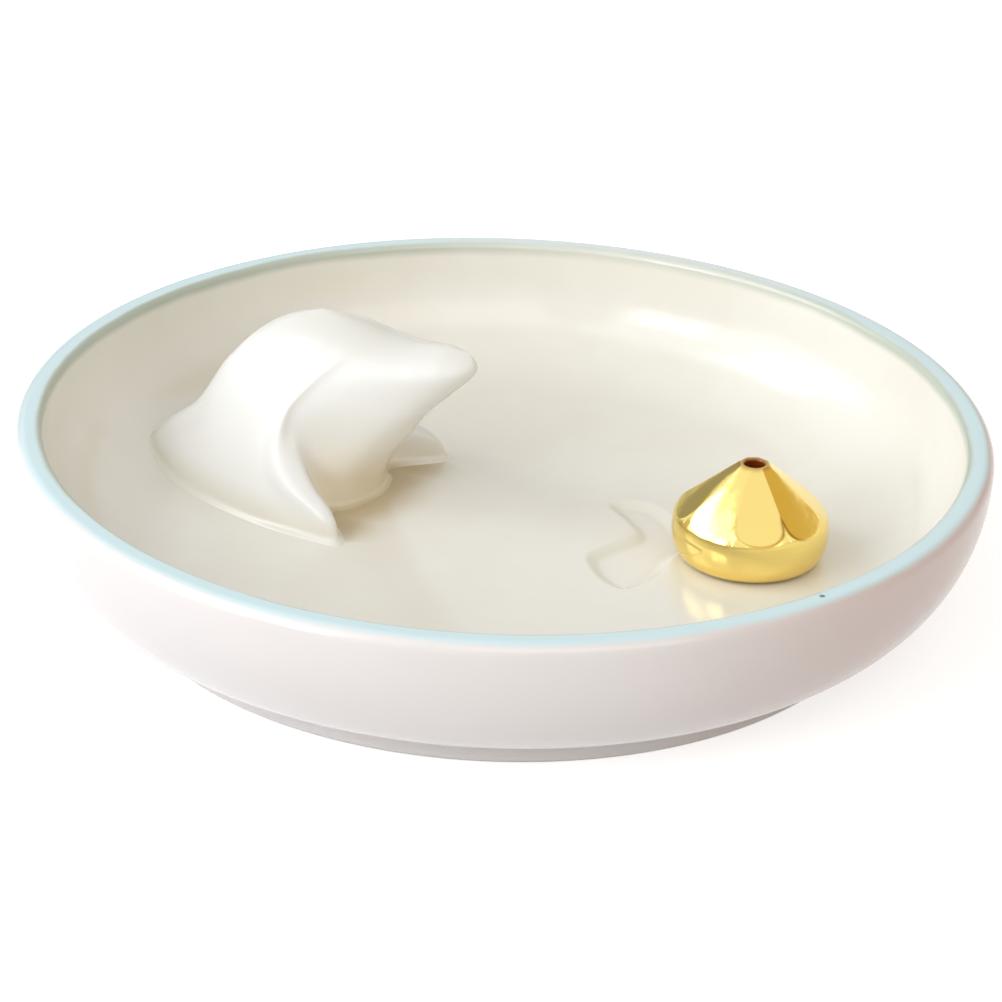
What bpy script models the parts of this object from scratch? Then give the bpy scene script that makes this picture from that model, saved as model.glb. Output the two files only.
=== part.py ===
"""Round glazed incense tray: a footed dish, a sea creature standing in it and a loose faceted stick holder.

The origin is on the table under the middle of the dish, +Z is up, and the creature looks towards +X and a little
towards -Y. All sizes are in metres.
"""

import math

import bmesh
import bpy
from mathutils import Vector

# Dish, turned about Z
RIM_RADIUS = 0.0550
RIM_HEIGHT = 0.0200
LIP_THICKNESS = 0.0031
LIP_INNER_EDGE = 0.0007
LIP_OUTER_EDGE = 0.0013
FLOOR_THICKNESS = 0.0038
FLOOR_RADIUS = 0.0385
INNER_WALL_FULLNESS = 2.4
OUTER_WALL_TUCK = 0.0025
OUTER_WALL_FULLNESS = 2.1
FOOT_RADIUS = 0.0435
FOOT_HEIGHT = 0.0024
FOOT_WIDTH = 0.0030
FOOT_EDGE = 0.0004
FOOT_INNER_SLOPE = 0.0008
UNDERSIDE_HEIGHT = 0.0020
FLOOR_HEIGHT = UNDERSIDE_HEIGHT + FLOOR_THICKNESS
RIM_GLAZE_DEPTH = 0.0016

# Clearances
SEAT_GAP = 0.0003
CUT_OVERRUN = 0.0020
AXIS_MERGE = 0.00001

# Fluke-shaped hollow pressed into the dish's floor beside the holder
HOLLOW_CENTRE = (0.0152, -0.0029)
HOLLOW_SPAN = 0.0225
HOLLOW_DEPTH = 0.0007
HOLLOW_SLOPE = 0.0008

# Sea creature, in its own frame: +X along its nose, +Y to its left, Z from the dish's floor
CREATURE_PLACE = (-0.0127, 0.0069)
CREATURE_HEADING = math.radians(-26.4)
CREATURE_LENGTH = 0.0420
CREATURE_HALF_WIDTH = 0.0142
CREATURE_HEIGHT = 0.0221
CREATURE_TAIL_SWING = 0.0018
CREATURE_ROOT = 0.0020

# Faceted stick holder, turned about its own upright axis
HOLDER_PLACE = (0.0281, -0.0046)
HOLDER_FACET_TURN = math.radians(4.0)
HOLDER_RADIUS = 0.0089
HOLDER_BELLY_BULGE = 0.0015
HOLDER_HEIGHT = 0.0112
HOLDER_BELLY_HEIGHT = 0.0030
HOLDER_FACET_COUNT = 8
HOLDER_FACET_FOOT_HEIGHT = 0.0053
HOLDER_FACET_BITE = 0.00075
STICK_HOLE_RADIUS = 0.0013
STICK_HOLE_FLARE = 0.0002
STICK_HOLE_FLOOR = 0.0020
STICK_HOLE_WALL = 0.00025

# Finishes: colour, and roughness of the two glazes and of the metal
CREAM = (0.83, 0.80, 0.73)
PALE_BLUE = (0.60, 0.79, 0.80)
WHITE = (0.88, 0.86, 0.81)
GOLD = (0.93, 0.64, 0.20)
GLAZE_ROUGHNESS = 0.12
METAL_ROUGHNESS = 0.10
SHARP_ANGLE = math.radians(25)

# Counts of facets round the turned pieces and along their curves
DISH_STEPS = 96
HOLDER_STEPS = 64
STICK_HOLE_STEPS = 24
WALL_STEPS = 9
LIP_STEPS = 4
BELLY_STEPS = 7
DOME_STEPS = 2
OUTLINE_STEPS = 4
SECTION_STEPS = 4
RAIL_STEPS = 3

# The hollow's outline round its middle, in shares of its span across the dish: the notch between the lobes, the
# far lobe, the stem that runs in under the holder, and the near lobe
HOLLOW_OUTLINE_SHARES = (
    (0.00, 0.12), (-0.05, 0.28), (-0.13, 0.44), (-0.05, 0.51), (0.10, 0.47), (0.20, 0.33),
    (0.29, 0.10), (0.33, -0.05), (0.20, -0.11), (0.13, -0.31), (-0.02, -0.49), (-0.12, -0.47),
    (-0.21, -0.33), (-0.24, -0.14), (-0.12, 0.00),
)

# The holder's dome before its facets are ground, from the belly up: shares of its radius and of the height from the
# belly to the top
HOLDER_DOME_SHARES = (
    (1.00, 0.00), (0.994, 0.122), (0.966, 0.244), (0.882, 0.366), (0.725, 0.524), (0.539, 0.732), (0.337, 1.00),
)

# Each rail climbs the creature from the floor to its crown line. A place is given in shares of the creature's
# length (from the line of its fin tips), of its half width and of its height.
SPINE_SHARES = (
    (-0.745, 0, 0.00), (-0.744, 0, 0.085), (-0.700, 0, 0.18), (-0.607, 0, 0.33),
    (-0.515, 0, 0.62), (-0.430, 0, 0.80), (-0.330, 0, 0.93), (-0.205, 0, 1.00),
)
TAIL_SIDE_SHARES = (
    (-0.665, 0.34, 0.00), (-0.670, 0.30, 0.08), (-0.635, 0.25, 0.17), (-0.560, 0.23, 0.31),
    (-0.485, 0.22, 0.59), (-0.405, 0.19, 0.77), (-0.305, 0.14, 0.915), (-0.170, 0, 0.998),
)
FLANK_SHARES = (
    (-0.490, 0.71, 0.00), (-0.485, 0.62, 0.11), (-0.470, 0.53, 0.23), (-0.440, 0.47, 0.38),
    (-0.395, 0.42, 0.58), (-0.330, 0.36, 0.77), (-0.250, 0.25, 0.91), (-0.130, 0, 0.99),
)
FIN_BACK_SHARES = (
    (-0.250, 0.945, 0.00), (-0.275, 0.87, 0.12), (-0.305, 0.77, 0.24), (-0.315, 0.655, 0.39),
    (-0.293, 0.55, 0.58), (-0.232, 0.44, 0.77), (-0.155, 0.30, 0.905), (-0.070, 0, 0.968),
)
FIN_RIDGE_SHARES = (
    (-0.045, 1.00, 0.00), (-0.110, 0.935, 0.115), (-0.205, 0.855, 0.225), (-0.245, 0.72, 0.385),
    (-0.232, 0.58, 0.57), (-0.165, 0.45, 0.755), (-0.095, 0.305, 0.885), (-0.030, 0, 0.945),
)
FIN_EDGE_SHARES = (
    (0.010, 0.93, 0.00), (-0.020, 0.895, 0.125), (-0.115, 0.79, 0.235), (-0.198, 0.64, 0.395),
    (-0.200, 0.565, 0.57), (-0.128, 0.440, 0.745), (-0.050, 0.30, 0.87), (0.005, 0, 0.933),
)
ARMPIT_SHARES = (
    (-0.105, 0.53, 0.00), (-0.135, 0.55, 0.12), (-0.155, 0.55, 0.235), (-0.155, 0.52, 0.385),
    (-0.110, 0.490, 0.550), (-0.020, 0.395, 0.71), (0.045, 0.285, 0.84), (0.085, 0, 0.932),
)
CHEST_SHARES = (
    (-0.070, 0.30, 0.00), (-0.075, 0.33, 0.11), (-0.055, 0.35, 0.23), (-0.010, 0.335, 0.38),
    (0.055, 0.30, 0.53), (0.125, 0.245, 0.68), (0.190, 0.195, 0.835), (0.152, 0, 0.952),
)
BELLY_SHARES = (
    (-0.050, 0, 0.00), (-0.042, 0, 0.10), (-0.012, 0, 0.23), (0.048, 0, 0.39),
    (0.100, 0, 0.53), (0.176, 0, 0.675), (0.248, 0, 0.83), (0.221, 0, 0.928),
)
CREATURE_RAILS = (
    SPINE_SHARES, TAIL_SIDE_SHARES, FLANK_SHARES, FIN_BACK_SHARES, FIN_RIDGE_SHARES, FIN_EDGE_SHARES,
    ARMPIT_SHARES, CHEST_SHARES, BELLY_SHARES,
)


def clear_scene():
    for obj in list(bpy.data.objects):
        bpy.data.objects.remove(obj)


def new_collection(name):
    collection = bpy.data.collections.new(name)
    bpy.context.scene.collection.children.link(collection)
    return collection


def new_material(name, colour, roughness, metallic=0.0):
    material = bpy.data.materials.new(name)
    material.use_nodes = True
    shader = material.node_tree.nodes["Principled BSDF"]
    shader.inputs["Base Color"].default_value = (*colour, 1.0)
    shader.inputs["Roughness"].default_value = roughness
    shader.inputs["Metallic"].default_value = metallic
    return material


def mesh_object(name, collection, mesh):
    obj = bpy.data.objects.new(name, mesh)
    collection.objects.link(obj)
    return obj


def turned(name, collection, profile, steps):
    """A solid turned about Z from (radius, height) pairs that start on the axis and end on it."""
    mesh = bpy.data.meshes.new(name)
    points = [(radius, 0.0, height) for radius, height in profile]
    mesh.from_pydata(points, [(i, i + 1) for i in range(len(points) - 1)], [])
    obj = mesh_object(name, collection, mesh)
    screw = obj.modifiers.new("turn", "SCREW")
    screw.steps = steps
    screw.render_steps = steps
    screw.use_merge_vertices = True
    screw.merge_threshold = AXIS_MERGE
    return obj


def as_helper(obj):
    obj.hide_render = True
    obj.display_type = "WIRE"
    return obj


def cut(obj, cutter, operation="DIFFERENCE"):
    boolean = obj.modifiers.new(cutter.name, "BOOLEAN")
    boolean.operation = operation
    boolean.solver = "EXACT"
    boolean.object = cutter


def face_outwards(mesh):
    shape = bmesh.new()
    shape.from_mesh(mesh)
    bmesh.ops.recalc_face_normals(shape, faces=shape.faces)
    shape.to_mesh(mesh)
    shape.free()


def fix_modifiers(obj):
    """Puts the modifiers' result in the object's own mesh."""
    bpy.context.view_layer.update()
    graph = bpy.context.evaluated_depsgraph_get()
    obj.data = bpy.data.meshes.new_from_object(obj.evaluated_get(graph))
    obj.modifiers.clear()


def smooth_but_for_edges(obj):
    obj.data.shade_smooth()
    obj.data.set_sharp_from_angle(angle=SHARP_ANGLE)


def wall_curve(start, end, fullness, tuck=0.0):
    """Points of a superellipse quarter that leaves start level and reaches end upright, as (radius, height).

    Its first stretch, as wide as the tuck, is left out."""
    reach = end[0] - start[0]
    rise = end[1] - start[1]
    first = math.asin((tuck / reach) ** (fullness / 2))
    points = []
    for step in range(WALL_STEPS + 1):
        angle = first + (math.pi / 2 - first) * step / WALL_STEPS
        radius = start[0] + reach * math.sin(angle) ** (2 / fullness)
        height = end[1] - rise * abs(math.cos(angle)) ** (2 / fullness)
        points.append((radius, height))
    return points


def inner_profile(gap=0.0):
    """The dish's inside, from the floor's middle to where the lip starts, moved in by the gap."""
    start = (FLOOR_RADIUS, FLOOR_HEIGHT + gap)
    end = (RIM_RADIUS - LIP_THICKNESS - gap, RIM_HEIGHT - LIP_INNER_EDGE)
    return [(0.0, FLOOR_HEIGHT + gap)] + wall_curve(start, end, INNER_WALL_FULLNESS)


def lip_profile():
    """The lip's rounded inner edge, flat top and rounder outer edge, without its two ends."""
    inner = RIM_RADIUS - LIP_THICKNESS + LIP_INNER_EDGE
    outer = RIM_RADIUS - LIP_OUTER_EDGE
    points = []
    for step in range(1, LIP_STEPS + 1):
        angle = math.pi / 2 * step / LIP_STEPS
        points.append((inner - LIP_INNER_EDGE * math.cos(angle), RIM_HEIGHT - LIP_INNER_EDGE * (1 - math.sin(angle))))
    for step in range(LIP_STEPS):
        angle = math.pi / 2 * step / LIP_STEPS
        points.append((outer + LIP_OUTER_EDGE * math.sin(angle), RIM_HEIGHT - LIP_OUTER_EDGE * (1 - math.cos(angle))))
    return points


def dish_profile():
    """The whole section, from the floor's middle over the lip to the middle of the underside."""
    lip = lip_profile()
    outer_start = (FOOT_RADIUS - OUTER_WALL_TUCK, FOOT_HEIGHT)
    outer_end = (RIM_RADIUS, RIM_HEIGHT - LIP_OUTER_EDGE)
    outer = wall_curve(outer_start, outer_end, OUTER_WALL_FULLNESS, OUTER_WALL_TUCK)
    foot_inner_radius = FOOT_RADIUS - FOOT_WIDTH
    foot = [
        (FOOT_RADIUS, FOOT_EDGE),
        (FOOT_RADIUS - FOOT_EDGE, 0.0),
        (foot_inner_radius + FOOT_EDGE, 0.0),
        (foot_inner_radius, FOOT_EDGE),
        (foot_inner_radius - FOOT_INNER_SLOPE, UNDERSIDE_HEIGHT),
        (0.0, UNDERSIDE_HEIGHT),
    ]
    return inner_profile() + lip + outer[::-1] + foot


def spline_points(points, before, after, steps):
    """A Catmull-Rom curve through the points, with one phantom point at each end."""
    chain = [before] + list(points) + [after]
    found = []
    for i in range(1, len(chain) - 2):
        a, b, c, d = chain[i - 1 : i + 3]
        for step in range(steps):
            t = step / steps
            found.append(
                ((2 * b) + (c - a) * t + (2 * a - 5 * b + 4 * c - d) * t**2 + (3 * b - a - 3 * c + d) * t**3) / 2
            )
    found.append(points[-1])
    return found


def closed_curve(points, steps):
    """A Catmull-Rom curve through a ring of points."""
    count = len(points)
    found = []
    for i in range(count):
        stretch = [points[(i + k) % count] for k in range(-1, 3)]
        found += spline_points(stretch[1:3], stretch[0], stretch[3], steps)[:-1]
    return found


def drawn_in(ring, distance):
    """The ring with each point moved square to the line of its neighbours, towards the inside."""
    count = len(ring)
    found = []
    for i, point in enumerate(ring):
        along = (ring[(i + 1) % count] - ring[i - 1]).normalized()
        found.append(point + Vector((along.y, -along.x)) * distance)
    return found


def hollow_cutter(helpers):
    """A plug with the hollow's outline at the floor, straight above it and sloping in below it."""
    middle = Vector(HOLLOW_CENTRE)
    corners = [middle + HOLLOW_SPAN * Vector(shares) for shares in HOLLOW_OUTLINE_SHARES]
    outline = closed_curve(corners, OUTLINE_STEPS)
    levels = (
        (outline, FLOOR_HEIGHT + CUT_OVERRUN),
        (outline, FLOOR_HEIGHT),
        (drawn_in(outline, HOLLOW_SLOPE), FLOOR_HEIGHT - HOLLOW_DEPTH),
    )
    points = [(*point, height) for ring, height in levels for point in ring]
    count = len(outline)
    faces = [tuple(range(count)), tuple(range(len(points) - count, len(points)))]
    for low in range(0, len(points) - count, count):
        for i in range(count):
            after = (i + 1) % count
            faces.append((low + i, low + after, low + count + after, low + count + i))
    mesh = bpy.data.meshes.new("hollow_cutter")
    mesh.from_pydata(points, [], faces)
    face_outwards(mesh)
    return as_helper(mesh_object("hollow_cutter", helpers, mesh))


def make_dish(parts, helpers):
    dish = turned("dish", parts, dish_profile(), DISH_STEPS)
    cut(dish, hollow_cutter(helpers))
    fix_modifiers(dish)
    smooth_but_for_edges(dish)
    dish.data.materials.append(new_material("cream_glaze", CREAM, GLAZE_ROUGHNESS))
    dish.data.materials.append(new_material("pale_blue_rim_glaze", PALE_BLUE, GLAZE_ROUGHNESS))
    for face in dish.data.polygons:
        face.material_index = 1 if face.center.z > RIM_HEIGHT - RIM_GLAZE_DEPTH else 0
    return dish


def mirrored(point):
    return Vector((point.x, -point.y, point.z))


def creature_rail_points():
    """The rails at their real size, each made finer from the floor to the crown line.

    The first and the last one run on along the crown line, so that the back and the nose are round."""
    size = Vector((CREATURE_LENGTH, CREATURE_HALF_WIDTH, CREATURE_HEIGHT))
    corners = [[Vector(place) * size for place in shares] for shares in CREATURE_RAILS]
    beyond = [corners[1][-1]] + [mirrored(points[-2]) for points in corners[1:-1]] + [corners[-2][-1]]
    rails = []
    for points, after in zip(corners, beyond):
        below = 2 * points[0] - points[1]
        rails.append(spline_points(points, below, after, RAIL_STEPS))
    return rails


def creature_sections():
    """Half sections from the spine to the belly, lowest first. The lowest one is the root, under the floor.

    The last one is the crown line, which runs on down the spine and down the nose."""
    rails = creature_rail_points()
    sections = []
    for row in zip(*rails):
        sections.append(spline_points(row, mirrored(row[1]), mirrored(row[-2]), SECTION_STEPS))
    crown = [rail[-1] for rail in rails]
    down_spine, down_nose = rails[0][-1 - RAIL_STEPS], rails[-1][-1 - RAIL_STEPS]
    sections[-1] = spline_points(crown, down_spine, down_nose, SECTION_STEPS)
    root = [Vector((point.x, point.y, -CREATURE_ROOT)) for point in sections[0]]
    return [root] + sections


def swing_tail(mesh):
    """Bends the part behind the fins sideways, more and more towards the tail."""
    tail = -SPINE_SHARES[1][0] * CREATURE_LENGTH
    for vertex in mesh.vertices:
        behind = max(0.0, -vertex.co.x / tail)
        vertex.co.y -= CREATURE_TAIL_SWING * behind**2


def creature_body(parts):
    """Lofts the half sections, closes the root and mirrors the half."""
    sections = creature_sections()
    width = len(sections[0])
    points = [point for section in sections for point in section]
    faces = [tuple(reversed(range(width)))]
    for low in range(len(sections) - 1):
        for i in range(width - 1):
            a = low * width + i
            faces.append((a, a + 1, a + 1 + width, a + width))
    mesh = bpy.data.meshes.new("sea_creature")
    mesh.from_pydata(points, [], faces)
    creature = mesh_object("sea_creature", parts, mesh)
    mirror = creature.modifiers.new("other_side", "MIRROR")
    mirror.use_axis = (False, True, False)
    mirror.merge_threshold = AXIS_MERGE
    weld = creature.modifiers.new("crown_line", "WELD")
    weld.merge_threshold = AXIS_MERGE
    fix_modifiers(creature)
    swing_tail(creature.data)
    face_outwards(creature.data)
    return creature


def make_creature(parts, helpers):
    creature = creature_body(parts)
    creature.location = (*CREATURE_PLACE, FLOOR_HEIGHT)
    creature.rotation_euler.z = CREATURE_HEADING
    over = RIM_HEIGHT + SEAT_GAP
    under = FLOOR_HEIGHT - CREATURE_ROOT - CUT_OVERRUN
    beyond = RIM_RADIUS + CREATURE_LENGTH
    profile = inner_profile(SEAT_GAP)
    profile += [(profile[-1][0], over), (beyond, over), (beyond, under), (0.0, under)]
    seat = as_helper(turned("creature_seat_cutter", helpers, profile, DISH_STEPS))
    cut(creature, seat)
    fix_modifiers(creature)
    smooth_but_for_edges(creature)
    creature.data.materials.append(new_material("white_glaze", WHITE, GLAZE_ROUGHNESS))
    return creature


def holder_profile():
    """The turned body before its facets are ground, from above its top's middle down to the base's middle."""
    rise = HOLDER_HEIGHT - HOLDER_BELLY_HEIGHT
    dome = [
        Vector((HOLDER_RADIUS * across, HOLDER_BELLY_HEIGHT + rise * up)) for across, up in HOLDER_DOME_SHARES
    ]
    below = Vector((dome[1].x, 2 * dome[0].y - dome[1].y))
    above = 2 * dome[-1] - dome[-2]
    top = HOLDER_HEIGHT + CUT_OVERRUN
    points = [(0.0, top), (dome[-1].x, top)]
    points += [tuple(point) for point in reversed(spline_points(dome, below, above, DOME_STEPS))]
    for step in range(1, BELLY_STEPS + 1):
        angle = math.pi / 2 * step / BELLY_STEPS
        radius = HOLDER_RADIUS - HOLDER_BELLY_BULGE * (1 - math.cos(angle))
        points.append((radius, HOLDER_BELLY_HEIGHT * (1 - math.sin(angle))))
    return points + [(0.0, 0.0)]


def facet_pyramid(helpers):
    """The many-sided pyramid whose sides grind the facets and whose top is the holder's top."""
    to_corner = 1 / math.cos(math.pi / HOLDER_FACET_COUNT)
    top_radius = STICK_HOLE_RADIUS + STICK_HOLE_FLARE + STICK_HOLE_WALL
    rise = HOLDER_HEIGHT - HOLDER_FACET_FOOT_HEIGHT
    spread = (HOLDER_RADIUS - HOLDER_FACET_BITE - top_radius) / rise
    depth = HOLDER_HEIGHT + CUT_OVERRUN
    bpy.ops.mesh.primitive_cone_add(
        vertices=HOLDER_FACET_COUNT,
        radius1=(top_radius + spread * depth) * to_corner,
        radius2=top_radius * to_corner,
        depth=depth,
        location=(0.0, 0.0, HOLDER_HEIGHT - depth / 2),
        rotation=(0.0, 0.0, HOLDER_FACET_TURN + math.pi / HOLDER_FACET_COUNT),
    )
    pyramid = bpy.context.active_object
    pyramid.name = "facet_pyramid"
    for owner in list(pyramid.users_collection):
        owner.objects.unlink(pyramid)
    helpers.objects.link(pyramid)
    return as_helper(pyramid)


def stick_hole_cutter(helpers):
    top = HOLDER_HEIGHT + CUT_OVERRUN
    flared = STICK_HOLE_RADIUS + STICK_HOLE_FLARE
    profile = [
        (0.0, top),
        (flared, top),
        (flared, HOLDER_HEIGHT),
        (STICK_HOLE_RADIUS, HOLDER_HEIGHT - STICK_HOLE_FLARE),
        (STICK_HOLE_RADIUS, STICK_HOLE_FLOOR + STICK_HOLE_RADIUS / 2),
        (0.0, STICK_HOLE_FLOOR),
    ]
    return as_helper(turned("stick_hole_cutter", helpers, profile, STICK_HOLE_STEPS))


def make_holder(parts, helpers):
    holder = turned("incense_holder", parts, holder_profile(), HOLDER_STEPS)
    cut(holder, facet_pyramid(helpers), "INTERSECT")
    cut(holder, stick_hole_cutter(helpers))
    fix_modifiers(holder)
    smooth_but_for_edges(holder)
    holder.location = (*HOLDER_PLACE, FLOOR_HEIGHT + SEAT_GAP)
    holder.data.materials.append(new_material("polished_gold", GOLD, METAL_ROUGHNESS, metallic=1.0))
    return holder


def main():
    clear_scene()
    parts = new_collection("incense_holder_tray")
    helpers = new_collection("cutters")
    make_dish(parts, helpers)
    make_creature(parts, helpers)
    make_holder(parts, helpers)


main()
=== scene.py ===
# %% [markdown]
# # Incense tray in glazed ceramic
# The object is a footed dish 110 mm wide with a pale blue lip. A white sea creature stands in it, and a
# gold coloured metal button with a hole holds the stick. This file models the fine surfaces and finishes
# around the plain solids that were made before it, in the same metres and the same place.

# %% The plain solids, loaded as a fixed frame
import math

import bpy
import numpy as np
from mathutils import Matrix, Vector


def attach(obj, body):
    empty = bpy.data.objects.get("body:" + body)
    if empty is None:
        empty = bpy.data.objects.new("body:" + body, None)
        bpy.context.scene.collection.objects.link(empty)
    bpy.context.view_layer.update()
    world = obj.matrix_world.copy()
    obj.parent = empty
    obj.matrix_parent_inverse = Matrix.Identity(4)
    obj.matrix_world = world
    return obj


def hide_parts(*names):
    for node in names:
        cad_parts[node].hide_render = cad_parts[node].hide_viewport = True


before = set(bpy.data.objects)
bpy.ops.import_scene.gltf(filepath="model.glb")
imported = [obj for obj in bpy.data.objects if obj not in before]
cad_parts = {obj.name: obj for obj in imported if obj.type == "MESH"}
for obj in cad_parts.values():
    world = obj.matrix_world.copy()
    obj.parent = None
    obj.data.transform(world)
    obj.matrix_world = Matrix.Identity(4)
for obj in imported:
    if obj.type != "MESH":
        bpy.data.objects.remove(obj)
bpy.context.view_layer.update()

# %% [markdown]
# ## Camera
# A photograph is matched by working out where its camera stood. The rim of the dish is a circle, so its
# ellipse gives the height of the view, and the small tilt of the ellipse gives the roll. A long lens at 0.4
# m gives the mild perspective between the near and the far side of the rim.

# %% Camera where the photograph was taken
VIEW_DISTANCE = 0.400
VIEW_ELEVATION = math.radians(25.95)
VIEW_ROLL = math.radians(2.04)
VIEW_LENS = 125.85
VIEW_AIM = Vector((-0.00014, 0.0, 0.0092))

towards_camera = Vector((0.0, -math.cos(VIEW_ELEVATION), math.sin(VIEW_ELEVATION)))
level_right = Vector((1.0, 0.0, 0.0))
level_up = towards_camera.cross(level_right)
picture_right = level_right * math.cos(VIEW_ROLL) + level_up * math.sin(VIEW_ROLL)
picture_up = towards_camera.cross(picture_right)

bpy.ops.object.camera_add(location=VIEW_AIM + towards_camera * VIEW_DISTANCE)
camera = bpy.context.object
camera.data.lens = VIEW_LENS
camera.rotation_euler = Matrix((picture_right, picture_up, towards_camera)).transposed().to_euler()
bpy.context.scene.camera = camera
print("camera at", tuple(round(v, 4) for v in camera.location))

# %% [markdown]
# ## Floor, world and lights
# The dish stands on a plain white floor in a white room. To the camera the room is plain white, and so it
# is to what shines, while a lower level lights the object, so that pale glazes keep their colour. The floor
# adds a little light of its own for the same rays only, so that it looks white and still shows the object's
# shadow. The room's light is cooler from the windows' side, warmer from the other side and lower from the
# ceiling.

# %% Helpers for nodes
def add_node(tree, kind, **settings):
    """A node of that kind with its settings, and with its inputs set where a name of an input is given."""
    node = tree.nodes.new(kind)
    for name, value in settings.items():
        if name in node.inputs:
            node.inputs[name].default_value = value
        else:
            setattr(node, name, value)
    return node


def product(tree, first, second):
    """The first value times the second, which may be a plain number."""
    node = add_node(tree, "ShaderNodeMath", operation="MULTIPLY")
    tree.links.new(first, node.inputs[0])
    if isinstance(second, float):
        node.inputs[1].default_value = second
    else:
        tree.links.new(second, node.inputs[1])
    return node.outputs[0]


def seen_directly(tree):
    """A value that is 1 for the rays that meet the camera, a reflection or clear glass first."""
    path = add_node(tree, "ShaderNodeLightPath")
    glossy = add_node(tree, "ShaderNodeMath", operation="MAXIMUM")
    clear = add_node(tree, "ShaderNodeMath", operation="MAXIMUM")
    tree.links.new(path.outputs["Is Camera Ray"], glossy.inputs[0])
    tree.links.new(path.outputs["Is Glossy Ray"], glossy.inputs[1])
    tree.links.new(glossy.outputs[0], clear.inputs[0])
    tree.links.new(path.outputs["Is Transmission Ray"], clear.inputs[1])
    return clear.outputs[0]


# %% White floor that keeps a shadow
FLOOR_SIZE = 6.0
FLOOR_COLOUR = (0.70, 0.70, 0.70, 1.0)
FLOOR_GLOW = 0.62
FLOOR_DROP = 0.00002

bpy.ops.mesh.primitive_plane_add(size=FLOOR_SIZE, location=(0.0, 0.0, -FLOOR_DROP))
floor = bpy.context.object
floor.name = "studio_floor"
floor_paint = bpy.data.materials.new("studio_floor")
floor_paint.use_nodes = True
tree = floor_paint.node_tree
shader = tree.nodes["Principled BSDF"]
shader.inputs["Base Color"].default_value = FLOOR_COLOUR
shader.inputs["Roughness"].default_value = 1.0
shader.inputs["Specular IOR Level"].default_value = 0.0
shader.inputs["Emission Color"].default_value = (1.0, 1.0, 1.0, 1.0)
tree.links.new(product(tree, seen_directly(tree), FLOOR_GLOW), shader.inputs["Emission Strength"])
floor.data.materials.append(floor_paint)
print("floor", FLOOR_SIZE, "m wide,", FLOOR_DROP, "m under the foot")

# %% World that is white to look at and softer as a light
LEFT_LIGHT = (0.58, 0.585, 0.60, 1.0)
RIGHT_LIGHT = (0.665, 0.60, 0.505, 1.0)
CEILING_LIGHT = (0.475, 0.47, 0.455, 1.0)
LIGHT_SIDE = (-0.85, -0.52, 0.0)

world = bpy.data.worlds.new("white_room")
bpy.context.scene.world = world
world.use_nodes = True
tree = world.node_tree
direction = add_node(tree, "ShaderNodeTexCoord").outputs["Generated"]
sideways = add_node(tree, "ShaderNodeVectorMath", operation="DOT_PRODUCT")
sideways.inputs[1].default_value = LIGHT_SIDE
tree.links.new(direction, sideways.inputs[0])
share = add_node(tree, "ShaderNodeMapRange")
share.inputs["From Min"].default_value = -1.0
tree.links.new(sideways.outputs["Value"], share.inputs["Value"])
room = add_node(tree, "ShaderNodeMix", data_type="RGBA")
room.inputs[6].default_value = RIGHT_LIGHT
room.inputs[7].default_value = LEFT_LIGHT
tree.links.new(share.outputs["Result"], room.inputs["Factor"])
split = add_node(tree, "ShaderNodeSeparateXYZ")
tree.links.new(direction, split.inputs[0])
walls_to_ceiling = add_node(tree, "ShaderNodeMix", data_type="RGBA")
walls_to_ceiling.inputs[7].default_value = CEILING_LIGHT
tree.links.new(split.outputs["Z"], walls_to_ceiling.inputs["Factor"])
tree.links.new(room.outputs[2], walls_to_ceiling.inputs[6])
light = tree.nodes["Background"]
tree.links.new(walls_to_ceiling.outputs[2], light.inputs["Color"])
white = add_node(tree, "ShaderNodeBackground", Strength=1.0)
white.inputs["Color"].default_value = (1.0, 1.0, 1.0, 1.0)
mix = add_node(tree, "ShaderNodeMixShader")
tree.links.new(seen_directly(tree), mix.inputs["Fac"])
tree.links.new(light.outputs[0], mix.inputs[1])
tree.links.new(white.outputs[0], mix.inputs[2])
tree.links.new(mix.outputs[0], tree.nodes["World Output"].inputs["Surface"])
bpy.context.scene.view_settings.view_transform = "Standard"
print("room's light from", len(tree.nodes), "nodes")

# %% [markdown]
# Two windows stand to the left and to the front left. Two thin white curtains, one of them high up, spread
# their light, and a warm white wall to the front right sends some of it back into the dish. Each window is
# four panes with bars between them, because the glaze mirrors them as bright patches, and their light
# throws the creature's soft shadow to the right. A pane is an area light that the camera doesn't see. Its
# power is worked out from how bright it should look, so that its size can change alone.

# %% Windows on the left
PANE_COLOUR = (0.92, 0.96, 1.0)
WALL_COLOUR = (1.0, 0.94, 0.84)
# Name, turn and rise in degrees, distance, size of a pane, width of a bar, brightness below and above
WINDOWS = (
    ("left_window", 180.0, 36.0, 0.90, (0.17, 0.21), 0.030, (2.3, 4.2)),
    ("front_window", 224.0, 22.0, 1.00, (0.16, 0.22), 0.026, (3.9, 3.9)),
)
# Name, turn and rise in degrees, distance, size, brightness, colour
SOFT_SIDES = (
    ("wide_curtain", 198.0, 18.0, 1.10, (1.60, 0.66), 1.42, PANE_COLOUR),
    ("high_curtain", 212.0, 48.0, 1.00, (0.80, 0.40), 1.28, PANE_COLOUR),
    ("white_wall", 290.0, 40.0, 1.10, (1.00, 0.70), 1.14, WALL_COLOUR),
)


def stand_round(turn, rise, distance):
    """A place round the tray, the angles in degrees, and the rotation that faces the tray from there."""
    turn, rise = math.radians(turn), math.radians(rise)
    towards = Vector((math.cos(turn) * math.cos(rise), math.sin(turn) * math.cos(rise), math.sin(rise)))
    return towards * distance, towards.to_track_quat("Z", "Y")


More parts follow.
